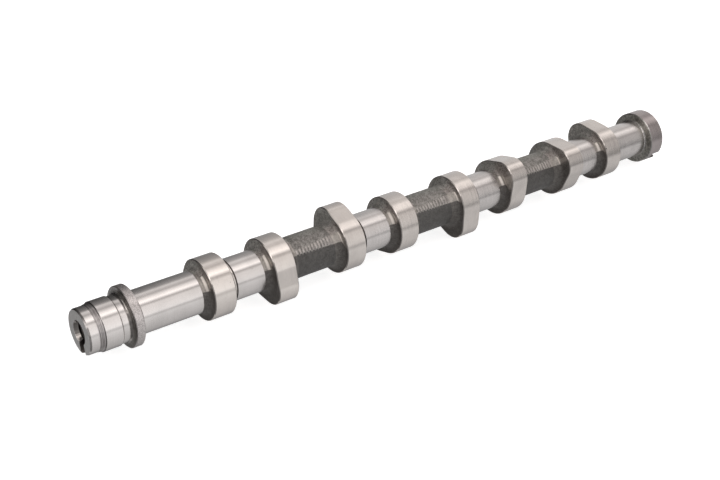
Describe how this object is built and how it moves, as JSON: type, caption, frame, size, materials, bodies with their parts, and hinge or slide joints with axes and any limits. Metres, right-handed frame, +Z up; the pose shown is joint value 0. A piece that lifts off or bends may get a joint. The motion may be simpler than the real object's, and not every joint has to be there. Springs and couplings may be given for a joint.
{
  "type": "camshaft",
  "caption": "Cast and ground overhead camshaft: lobe pairs between plain journals, a thrust flange and bolted nose at one end, a slotted drive disc at the other.",
  "frame": {"origin": "on the shaft's axis in the plane of the nose end face", "axes": "+X along the axis from the nose to the rear disc, +Z up from the floor that the shaft lies on"},
  "size_m": [0.4206, 0.0402, 0.0402],
  "materials": {
    "camshaft": "ground on journals, lobe rims, nose and discs, as cast on lobe sides and between the pairs"
  },
  "bodies": {
    "root": {"camshaft": "camshaft"}
  },
  "joints": []
}
